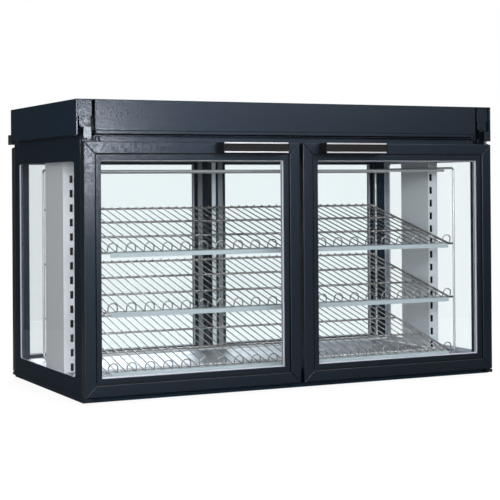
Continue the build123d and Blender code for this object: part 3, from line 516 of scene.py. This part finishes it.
def add_prism(bm, outline, axis, low, high, edge=0.0, segments=2):
    """An outline in the two axes after the given one, in their order, carried from low to high."""
    first, second = [a for a in range(3) if a != axis]
    verts = []
    for a, b in outline:
        place = [0.0, 0.0, 0.0]
        place[axis], place[first], place[second] = low, a, b
        verts.append(bm.verts.new(place))
    face = bm.faces.new(verts)
    swept = bmesh.ops.extrude_face_region(bm, geom=[face])["geom"]
    moved = [item for item in swept if isinstance(item, bmesh.types.BMVert)]
    step = [0.0, 0.0, 0.0]
    step[axis] = high - low
    bmesh.ops.translate(bm, vec=step, verts=moved)
    if edge:
        round_edges(bm, edges_of(verts + moved), edge, segments)
    return verts + moved


def add_turned(bm, outline, centre, axis, steps=48):
    """A profile of (distance along the axis, radius) pairs, turned about the axis through a point."""
    axis = Vector(axis).normalized()
    side = axis.orthogonal().normalized()
    centre = Vector(centre)
    verts = [bm.verts.new(centre + axis * along + side * radius) for along, radius in outline]
    edges = [bm.edges.new(pair) for pair in zip(verts, verts[1:])]
    bmesh.ops.spin(bm, geom=verts + edges, cent=centre, axis=axis, angle=math.tau, steps=steps,
                   use_merge=True)


def finish_piece(name, bm, body, material, nodes=()):
    """Makes a mesh object of a bmesh, rides it on a body and hides the nodes it stands for."""
    bmesh.ops.remove_doubles(bm, verts=bm.verts, dist=MERGE_GAP)
    bmesh.ops.recalc_face_normals(bm, faces=bm.faces)
    mesh = bpy.data.meshes.new(name)
    bm.to_mesh(mesh)
    bm.free()
    mesh.shade_smooth()
    mesh.set_sharp_from_angle(angle=SMOOTH_ANGLE)
    mesh.materials.append(material)
    piece = bpy.data.objects.new(name, mesh)
    bpy.context.scene.collection.objects.link(piece)
    even = piece.modifiers.new("Even shading", "WEIGHTED_NORMAL")
    even.keep_sharp = True
    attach(piece, body)
    if nodes:
        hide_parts(*nodes)
    return piece


def door_piece(label, place, bm, slot, material, *nodes):
    """Turns what was made for the front left door into the piece of another, and finishes it."""
    if place.endswith("right"):
        bmesh.ops.scale(bm, vec=(-1, 1, 1), verts=bm.verts)
    if place.startswith("rear"):
        bmesh.ops.scale(bm, vec=(1, -1, 1), verts=bm.verts)
    finish_piece(label + place, bm, "door_" + place, material, [node + place for node in nodes])


def second_finish(piece, material, wanted):
    """Gives another finish to the faces that a test picks."""
    piece.data.materials.append(material)
    for face in piece.data.polygons:
        if wanted(face):
            face.material_index = len(piece.data.materials) - 1


def dress(node, material, edge=0.0):
    """Gives a measured node its finish, and rounds its sharp edges a little."""
    piece = frame["nodes"][node]
    piece.data.materials.clear()
    piece.data.materials.append(material)
    if edge:
        weld = piece.modifiers.new("Weld", "WELD")
        weld.merge_threshold = WELD_GAP
        bevel = piece.modifiers.new("Rounded edges", "BEVEL")
        bevel.width = edge
        bevel.segments = 2
        bevel.limit_method = "ANGLE"
        bevel.angle_limit = SHARP_ANGLE


def copy_of(node, edge, segments=2):
    """A merged copy of a measured node's mesh, its flat faces whole and its sharp edges rounded."""
    bm = bmesh.new()
    bm.from_mesh(frame["nodes"][node].data)
    bmesh.ops.remove_doubles(bm, verts=bm.verts, dist=COPY_GAP)
    bmesh.ops.dissolve_limit(bm, angle_limit=FLAT_ANGLE, verts=bm.verts, edges=bm.edges)
    sharp = [e for e in bm.edges if len(e.link_faces) == 2 and e.calc_face_angle(0.0) > SHARP_ANGLE]
    if edge and sharp:
        round_edges(bm, sharp, edge, segments)
    return bm


# Rounding of the edges of nodes that keep their own mesh

FINE_EDGE = 0.3 * MM
STRIP_EDGE = 0.4 * MM
MOULDED_EDGE = 0.5 * MM
KNOB_EDGE = 0.6 * MM
SOFT_EDGE = 0.8 * MM
FOOT_EDGE = 1.0 * MM
MOTOR_EDGE = 1.2 * MM


# Doors

BUSH_LOW = 1.2 * MM
BUSH_BORE = 4.05 * MM
BUSH_FLANGE = 8.4 * MM
BUSH_STEPS = 32
BEAD_FACE = 16.0 * MM
PACKER_LAP = 1.0 * MM
GLAZING_GAP = 0.05 * MM
PANE = 4.0 * MM
SPACER_EDGE = 8.0 * MM
SPACER_FACE = 6.2 * MM
SPACER_LIP = 2.4 * MM
SPACER_ARRIS = 0.1 * MM
PULL_WALL = 3.0 * MM
PULL_FLANGE = 21.0 * MM
PULL_LIP = 3.5 * MM
PULL_CAP = 3.0 * MM
INSERT_RECESS = 0.8 * MM
INSERT_SHEET = 1.6 * MM
RIB_DEPTH = 0.35 * MM
RIB_START, RIB_END = 0.25, 0.75
STRIP_FACE = 13.5 * MM
STRIP_INSET = 0.6 * MM
STRIP_SHEET = 1.2 * MM
STRIP_END = 6.0 * MM


def mitred_bars(bm, low, high, width, y0, y1, edge, segments=2):
    """Four bars round a rectangle in X and Z, mitred at the corners. The joints show as fine grooves."""
    x0, z0 = low
    x1, z1 = high
    outer = [(x0, z0), (x1, z0), (x1, z1), (x0, z1)]
    inner = [(x0 + width, z0 + width), (x1 - width, z0 + width), (x1 - width, z1 - width),
             (x0 + width, z1 - width)]
    for index in range(4):
        after = (index + 1) % 4
        add_prism(bm, [outer[index], outer[after], inner[after], inner[index]], 1, y0, y1, edge, segments)


def door_frame(place, sizes):
    """The mitred bars of one door with the flanged bush of its pin at top and bottom."""
    low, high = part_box("door_frame_front_left")
    bead_low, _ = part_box("door_bead_front_left")
    width = bead_low.x - low.x
    pin = next(j for j in frame["joints"] if j["name"] == "door_front_left_hinge")["pos_m"]
    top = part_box("door_pull_front_left")[1].z
    bottom = low.z + BUSH_LOW
    bm = bmesh.new()
    mitred_bars(bm, (low.x, bottom), (high.x, top), width, low.y, high.y, sizes.door_arris, 3)
    for base, tip in ((top, high.z), (bottom, low.z)):
        step = 1 if tip > base else -1
        outline = [(0.0, BUSH_BORE), (0.0, BUSH_FLANGE), (abs(tip - base), BUSH_FLANGE),
                   (abs(tip - base), BUSH_BORE), (0.0, BUSH_BORE)]
        add_turned(bm, outline, (pin[0], pin[1], base), (0, 0, step), BUSH_STEPS)
    door_piece("door_bars_", place, bm, "powder_coat", coat(), "door_frame_")


def door_beads(place, sizes):
    """The set-back glazing beads in front of and behind the glass, mitred like the bars."""
    low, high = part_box("door_bead_front_left")
    glass_low, glass_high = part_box("door_glass_front_left")
    bm = bmesh.new()
    groove = sizes.bead_groove
    for y0, y1 in ((low.y, glass_low.y - GLAZING_GAP), (glass_high.y + GLAZING_GAP, high.y)):
        mitred_bars(bm, (low.x + groove, low.z + groove), (high.x - groove, high.z - groove),
                    BEAD_FACE - groove, y0, y1, sizes.mitre_arris)
    door_piece("door_beads_", place, bm, "bead", bead_coat(), "door_bead_")
    bm = bmesh.new()
    tape = glass_low.x - low.x - GLAZING_GAP
    mitred_bars(bm, (low.x, low.z), (high.x, high.z), tape, glass_low.y - PACKER_LAP,
                glass_high.y + PACKER_LAP, sizes.mitre_arris / 2)
    door_piece("glazing_packers_", place, bm, "gasket", black_plastic())


def door_glass(place, sizes):
    """Two panes with ground edges, and the pale spacer between them that shows as a line."""
    low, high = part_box("door_glass_front_left")
    bm = bmesh.new()
    for y in (low.y, high.y - PANE):
        add_block(bm, (low.x, y, low.z), (high.x, y + PANE, high.z), sizes.glass_edge, 1)
    door_piece("door_panes_", place, bm, "glass", glass_material(), "door_glass_")
    front, back = low.y + PANE + GLAZING_GAP, high.y - PANE - GLAZING_GAP
    for label, strips, material in (
            ("door_spacer_", ((front, front + SPACER_LIP), (back - SPACER_LIP, back)), gasket_rubber()),
            ("door_spacer_core_", ((front + SPACER_LIP, back - SPACER_LIP),), black_plastic())):
        bm = bmesh.new()
        for y0, y1 in strips:
            mitred_bars(bm, (low.x + SPACER_EDGE, low.z + SPACER_EDGE),
                        (high.x - SPACER_EDGE, high.z - SPACER_EDGE), SPACER_FACE, y0, y1, SPACER_ARRIS, 1)
        door_piece(label, place, bm, "gasket", material)


def door_pull(place, sizes):
    """A hooked extrusion with bright lips, a ribbed dark insert and black end caps."""
    low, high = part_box("door_pull_front_left")
    face, edge = high.y, sizes.pull_edge
    x0, x1 = low.x + PULL_CAP, high.x - PULL_CAP
    z0, z1 = low.z + PULL_LIP, high.z - PULL_LIP
    crest = low.y + INSERT_RECESS
    seat = crest + INSERT_SHEET
    profile = [(face, high.z), (low.y, high.z), (low.y, z1), (seat, z1), (seat, z0), (low.y, z0),
               (low.y, low.z), (low.y + PULL_WALL, low.z), (low.y + PULL_WALL, high.z - PULL_WALL),
               (face - PULL_WALL, high.z - PULL_WALL), (face - PULL_WALL, high.z - PULL_FLANGE),
               (face, high.z - PULL_FLANGE)]
    bm = bmesh.new()
    made = add_prism(bm, profile, 0, x0, x1)
    along = [e for e in edges_of(made) if abs((e.verts[0].co - e.verts[1].co).x) > (x1 - x0) / 2]
    round_edges(bm, along, edge / 2, 3)
    door_piece("pull_lips_", place, bm, "pull", lip_metal(), "door_pull_")

    bm = bmesh.new()
    pitch = (z1 - z0) / sizes.pull_ribs
    outline = [(seat, z0), (seat, z1)]
    for index in range(sizes.pull_ribs):
        base = z1 - index * pitch
        outline += [(crest + RIB_DEPTH, base), (crest, base - pitch * RIB_START),
                    (crest, base - pitch * RIB_END)]
    outline.append((crest + RIB_DEPTH, z0))
    add_prism(bm, outline, 0, x0, x1)
    door_piece("pull_insert_", place, bm, "pull", insert_strip())

    bm = bmesh.new()
    for start in (low.x, x1):
        add_block(bm, (start, low.y, low.z), (start + PULL_CAP, face, high.z), edge, 3)
    door_piece("pull_caps_", place, bm, "control_plastic", matt_black())


def meeting_strip(place, sizes):
    """A pale cover strip along the meeting edge, on the door's inner face."""
    low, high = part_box("door_frame_front_left")
    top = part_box("door_pull_front_left")[1].z
    bm = bmesh.new()
    add_block(bm, (high.x - STRIP_FACE, high.y, low.z + STRIP_END),
              (high.x - STRIP_INSET, high.y + STRIP_SHEET, top - STRIP_END), sizes.sheet_edge)
    door_piece("meeting_strip_", place, bm, "gasket", strip_plastic())


class CABINET_OT_doors(bpy.types.Operator):
    """Adds the bars, beads, panes, spacer and pull of each door, and finishes its seal"""
    bl_idname = "cabinet.doors"
    bl_label = "Doors"

    def execute(self, context):
        sizes = context.scene.cabinet_sizes
        for place in DOORS:
            door_frame(place, sizes)
            door_beads(place, sizes)
            door_glass(place, sizes)
            door_pull(place, sizes)
            dress("door_seal_" + place, seal_rubber(), SOFT_EDGE)
        for place in ("front_right", "rear_right"):
            meeting_strip(place, sizes)
        return {"FINISHED"}


# Cap

HEM_INSET = 0.5 * MM
BEND_SEGMENTS = 6
BEND_SHARE = 0.9
RIM_ANGLE = math.radians(50.0)
FACING = 0.5
SAME_PLACE = 1e-6


def cap_front(sizes):
    """The cap's front panel: a sheet with rounded upright bends above a folded hem."""
    low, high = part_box("cap_front_panel")
    groove = low.z + sizes.cap_hem
    bm = bmesh.new()
    for z0, z1, inset in ((groove + sizes.cap_groove, high.z, 0.0), (low.z, groove, HEM_INSET)):
        face = low.y + inset
        made = add_block(bm, (low.x + inset, face, z0), (high.x - inset, high.y, z1))
        upright = [e for e in edges_of(made) if abs((e.verts[0].co - e.verts[1].co).z) > SAME_PLACE
                   and all(abs(v.co.y - face) < SAME_PLACE for v in e.verts)]
        round_edges(bm, upright, min(sizes.cap_corner, (high.y - face) * BEND_SHARE), BEND_SEGMENTS)
    rim = [e for e in bm.edges if e.calc_face_angle(0.0) > RIM_ANGLE]
    round_edges(bm, rim, sizes.sheet_edge, 2)
    return bm


class CABINET_OT_cap(bpy.types.Operator):
    """Adds the cap's front, back, sides and top, and finishes its floor"""
    bl_idname = "cabinet.cap"
    bl_label = "Cap"

    def execute(self, context):
        sizes = context.scene.cabinet_sizes
        finish_piece("cap_front", cap_front(sizes), "cabinet", coat(), ["cap_front_panel"])
        finish_piece("cap_rear", copy_of("cap_rear_panel", sizes.sheet_edge), "cabinet",
                     coat(), ["cap_rear_panel"])
        sides = finish_piece("cap_sides", copy_of("cap_side_panels", sizes.sheet_edge), "cabinet",
                             cap_side_coat(), ["cap_side_panels"])
        second_finish(sides, casting_coat(), lambda face: abs(face.normal.y) > FACING)
        bm = bmesh.new()
        add_block(bm, *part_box("cap_top_panel"), sizes.sheet_edge, 3)
        finish_piece("cap_top", bm, "cabinet", cap_side_coat(), ["cap_top_panel"])
        dress("cap_floor_panel", coat(), sizes.sheet_edge)
        return {"FINISHED"}


# Body

class CABINET_OT_body(bpy.types.Operator):
    """Finishes the base, posts, rails, side sheets, side glass and liner"""
    bl_idname = "cabinet.body"
    bl_label = "Body"

    def execute(self, context):
        sizes = context.scene.cabinet_sizes
        dress("base_pan", frame_coat(), sizes.sheet_edge)
        dress("rubber_feet", black_plastic(), FOOT_EDGE)
        for node in ("corner_posts", "sill_rails"):
            dress(node, frame_coat(), sizes.sheet_edge)
        dress("header_rails", coat(), sizes.sheet_edge)
        for node in ("side_panel_left", "side_panel_right"):
            dress(node, side_coat(), FINE_EDGE)
        dress("side_glass_gaskets", gasket_rubber(), MOULDED_EDGE)
        dress("side_glass", glass_material())
        dress("deck_tray", deck_sheet())
        dress("floor_insulation", fibre_board())
        dress("ceiling_panel", frame_coat())
        return {"FINISHED"}


# Hinges

class CABINET_OT_hinges(bpy.types.Operator):
    """Adds the hinge arms and blocks, and finishes the lower brackets and door-stop clips"""
    bl_idname = "cabinet.hinges"
    bl_label = "Hinges"

    def execute(self, context):
        sizes = context.scene.cabinet_sizes
        finish_piece("hinge_arms", copy_of("upper_hinge_arms", sizes.sheet_edge), "cabinet",
                     coat(), ["upper_hinge_arms"])
        finish_piece("hinge_blocks", copy_of("upper_hinge_blocks", sizes.hinge_edge, 3), "cabinet",
                     casting_coat(), ["upper_hinge_blocks"])
        dress("lower_hinge_brackets", coat(), SOFT_EDGE)
        dress("door_stop_clips", coat(), FINE_EDGE)
        return {"FINISHED"}


# Columns, rack and shelves

DUCT_WALL = 1.0 * MM
FACE_SLACK = 1e-5


class CABINET_OT_interior(bpy.types.Operator):
    """Adds the slotted columns, and finishes the rack, its slanted shelves and the price rails"""
    bl_idname = "cabinet.interior"
    bl_label = "Columns and shelves"

    def execute(self, context):
        for side in ("left", "right"):
            node = "air_column_" + side
            low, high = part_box(node)
            column = finish_piece("slotted_column_" + side, copy_of(node, FINE_EDGE), "cabinet",
                                  column_paint(), [node])
            # Faces inside the duct walls get the near-black painted shade.
            inner = [(low.x + DUCT_WALL, high.x - DUCT_WALL), (low.y + DUCT_WALL, high.y - DUCT_WALL)]
            second_finish(column, duct_black(), lambda face: all(
                a - FACE_SLACK < face.center[axis] < b + FACE_SLACK for axis, (a, b) in enumerate(inner)))
        for node in ("shelf_top", "shelf_middle", "shelf_bottom"):
            dress(node, wire_chrome())
        for node in ("rack_end_frames", "rack_cross_rods"):
            dress(node, rod_plating())
        dress("price_rails", rail_plastic(), STRIP_EDGE)
        return {"FINISHED"}


# Works in the cap and the lights

class CABINET_OT_works(bpy.types.Operator):
    """Finishes the blower, motor, heater and lights"""
    bl_idname = "cabinet.works"
    bl_label = "Works"

    def execute(self, context):
        dress("blower_housing", galvanised(), FINE_EDGE)
        dress("blower_wheel", galvanised())
        dress("blower_motor", motor_paint(), MOTOR_EDGE)
        dress("heating_element", heater_sheath())
        dress("light_bars", milky_lens(), FINE_EDGE)
        return {"FINISHED"}


# Controls at the back

class CABINET_OT_controls(bpy.types.Operator):
    """Finishes the thermostat knob, switches, their housings, the inlet and the screws"""
    bl_idname = "cabinet.controls"
    bl_label = "Controls"

    def execute(self, context):
        dress("control_housings", black_plastic(), MOULDED_EDGE)
        dress("power_inlet", black_plastic(), STRIP_EDGE)
        dress("thermostat_knob", black_plastic(), KNOB_EDGE)
        for node in ("power_switch", "light_switch"):
            dress(node, gloss_black(), KNOB_EDGE)
        dress("panel_screws", bright_steel(), SOFT_EDGE)
        return {"FINISHED"}


# Stage

CAMERA_PLACE = Vector((-1.78906, -3.66640, 0.54038))
CAMERA_YAW = math.radians(25.987)
CAMERA_PITCH = math.radians(0.3715)
CAMERA_ROLL = math.radians(-0.4038)
SENSOR_WIDTH = 36.0
CLIP_START, CLIP_END = 0.1, 200.0
FLOOR_RADIUS = 1.9
FLOOR_STEPS = 96
FLOOR_PAINT = (0.2, 0.2, 0.2)
FLOOR_GLOW = 0.87
ROOM_LOW, ROOM_HIGH = 0.16, 0.75
WHITE = (1.0, 1.0, 1.0)
SHEEN_TINT = (0.88, 0.92, 1.0)

# For each lamp: its name, the setting that holds its power, place, target, width, height and tint
SOFTBOXES = (
    ("key_softbox", "key_light", (1.1, -3.2, 1.7), (0.0, 0.0, 0.4), 2.4, 0.9, WHITE),
    ("front_softbox", "front_light", (-1.9, -3.8, 1.15), (-0.1, 0.0, 0.4), 1.2, 0.9, WHITE),
    ("sheen_softbox", "sheen_light", (0.38, -3.14, 0.72), (-0.6, -0.3, 0.64), 0.14, 0.36, SHEEN_TINT),
    ("side_softbox", "side_light", (-2.9, -1.8, 0.5), (0.0, -0.3, 0.4), 1.4, 1.3, WHITE),
    ("rear_softbox", "rear_light", (0.7, 3.4, 1.7), (0.0, 0.0, 0.4), 1.8, 1.0, WHITE),
)


def camera_turn():
    """The camera's axes, from its yaw to the right, its pitch up and its roll."""
    ahead = Vector((math.sin(CAMERA_YAW) * math.cos(CAMERA_PITCH),
                    math.cos(CAMERA_YAW) * math.cos(CAMERA_PITCH), math.sin(CAMERA_PITCH)))
    level = ahead.cross(Vector((0, 0, 1))).normalized()
    up = level.cross(ahead)
    right = level * math.cos(CAMERA_ROLL) + up * math.sin(CAMERA_ROLL)
    above = up * math.cos(CAMERA_ROLL) - level * math.sin(CAMERA_ROLL)
    return Matrix((right, above, -ahead)).transposed()


def softbox(name, place, target, width, height, power, tint):
    """A rectangular lamp that faces a point."""
    lamp = bpy.data.lights.new(name, "AREA")
    lamp.shape = "RECTANGLE"
    lamp.size, lamp.size_y = width, height
    lamp.energy = power
    lamp.color = tint
    box = bpy.data.objects.new(name, lamp)
    box.location = place
    box.rotation_mode = "QUATERNION"
    box.rotation_quaternion = (Vector(target) - Vector(place)).to_track_quat("-Z", "Y")
    bpy.context.scene.collection.objects.link(box)


def calculated(tree, operation, first, second):
    """The result of one sum on two sockets or numbers."""
    sum_node = tree.nodes.new("ShaderNodeMath")
    sum_node.operation = operation
    for socket, value in zip(sum_node.inputs, (first, second)):
        if isinstance(value, (int, float)):
            socket.default_value = value
        else:
            tree.links.new(value, socket)
    return sum_node.outputs["Value"]


def seen_and_mirrored(tree, path):
    """Two masks: what is looked at or through, and what is mirrored, in a pane's own faces too."""
    straight = calculated(tree, "LESS_THAN", path.outputs["Glossy Depth"], 0.5)
    through = calculated(tree, "MULTIPLY", path.outputs["Is Transmission Ray"], straight)
    looked = calculated(tree, "MAXIMUM", path.outputs["Is Camera Ray"], through)
    turned = calculated(tree, "SUBTRACT", 1.0, straight)
    return looked, calculated(tree, "MULTIPLY", path.outputs["Is Glossy Ray"], turned)


def white_world(soft, horizon):
    """White where it is looked at or through, a room that is bright above and dim at the sides where it is
    mirrored, and a softer light on the object."""
    world = bpy.data.worlds.new("studio")
    bpy.context.scene.world = world
    world.use_nodes = True
    tree = world.node_tree
    background = tree.nodes["Background"]
    background.inputs["Color"].default_value = (*WHITE, 1.0)
    path = tree.nodes.new("ShaderNodeLightPath")
    looked, mirrored_view = seen_and_mirrored(tree, path)
    place = tree.nodes.new("ShaderNodeTexCoord")
    split = tree.nodes.new("ShaderNodeSeparateXYZ")
    tree.links.new(place.outputs["Generated"], split.inputs["Vector"])
    slope = calculated(tree, "ABSOLUTE", split.outputs["Z"], 0.0)
    room = tree.nodes.new("ShaderNodeMapRange")
    room.interpolation_type = "SMOOTHSTEP"
    for label, value in (("From Min", ROOM_LOW), ("From Max", ROOM_HIGH), ("To Min", horizon),
                         ("To Max", 1.0)):
        room.inputs[label].default_value = value
    tree.links.new(slope, room.inputs["Value"])
    shown = calculated(tree, "MULTIPLY", room.outputs["Result"], mirrored_view)
    unseen = calculated(tree, "SUBTRACT", 1.0, calculated(tree, "MAXIMUM", looked, mirrored_view))
    level = calculated(tree, "ADD", calculated(tree, "MULTIPLY", unseen, soft), shown)
    tree.links.new(calculated(tree, "MAXIMUM", level, looked), background.inputs["Strength"])


def floor():
    """A round white floor that keeps the cabinet's shadow."""
    bm = bmesh.new()
    bmesh.ops.create_circle(bm, cap_ends=True, segments=FLOOR_STEPS, radius=FLOOR_RADIUS)
    mesh = bpy.data.meshes.new("floor")
    bm.to_mesh(mesh)
    bm.free()
    obj = bpy.data.objects.new("floor", mesh)
    bpy.context.scene.collection.objects.link(obj)
    material = bpy.data.materials.new("floor_white")
    tree, shader, _ = wired(material)
    shader.inputs["Base Color"].default_value = (*FLOOR_PAINT, 1.0)
    shader.inputs["Roughness"].default_value = 0.9
    shader.inputs["Specular IOR Level"].default_value = 0.1
    shader.inputs["Emission Color"].default_value = (*WHITE, 1.0)
    looked, _ = seen_and_mirrored(tree, tree.nodes.new("ShaderNodeLightPath"))
    tree.links.new(calculated(tree, "MULTIPLY", looked, FLOOR_GLOW), shader.inputs["Emission Strength"])
    mesh.materials.append(material)


class CABINET_OT_stage(bpy.types.Operator):
    """Adds the floor, the white surroundings, the lamps and the camera"""
    bl_idname = "cabinet.stage"
    bl_label = "Stage"

    def execute(self, context):
        studio = context.scene.cabinet_studio
        white_world(studio.soft_light, studio.horizon)
        floor()
        for name, power, place, target, width, height, tint in SOFTBOXES:
            softbox(name, place, target, width, height, getattr(studio, power), tint)
        lens = bpy.data.cameras.new("camera")
        lens.lens = studio.lens
        lens.sensor_width = SENSOR_WIDTH
        lens.shift_y = studio.rise
        lens.clip_start, lens.clip_end = CLIP_START, CLIP_END
        camera = bpy.data.objects.new("camera", lens)
        camera.matrix_world = Matrix.Translation(CAMERA_PLACE) @ camera_turn().to_4x4()
        context.scene.collection.objects.link(camera)
        context.scene.camera = camera
        context.scene.view_settings.view_transform = "Standard"
        return {"FINISHED"}


class CABINET_PT_panel(bpy.types.Panel):
    """Sizes, colours and steps of the cabinet"""
    bl_idname = "CABINET_PT_panel"
    bl_label = "Heated cabinet"
    bl_space_type = "VIEW_3D"
    bl_region_type = "UI"
    bl_category = "Cabinet"

    def draw(self, context):
        layout = self.layout
        for group_name in GROUPS:
            group = getattr(context.scene, group_name)
            box = layout.box()
            for name in group.__annotations__:
                box.prop(group, name)
        for step in STEPS:
            layout.operator(step.bl_idname)


GROUPS = {"cabinet_sizes": CabinetSizes, "cabinet_colours": CabinetColours, "cabinet_studio": CabinetStudio}
STEPS = (CABINET_OT_body, CABINET_OT_cap, CABINET_OT_hinges, CABINET_OT_doors, CABINET_OT_interior,
         CABINET_OT_works, CABINET_OT_controls, CABINET_OT_stage)


def register():
    for cls in (*GROUPS.values(), *STEPS, CABINET_PT_panel):
        bpy.utils.register_class(cls)
    for name, cls in GROUPS.items():
        setattr(bpy.types.Scene, name, PointerProperty(type=cls))


def unregister():
    for name in GROUPS:
        delattr(bpy.types.Scene, name)
    for cls in reversed((*GROUPS.values(), *STEPS, CABINET_PT_panel)):
        bpy.utils.unregister_class(cls)


def main():
    register()
    for step in STEPS:
        family, name = step.bl_idname.split(".")
        getattr(getattr(bpy.ops, family), name)()


if __name__ == "__main__":
    main()
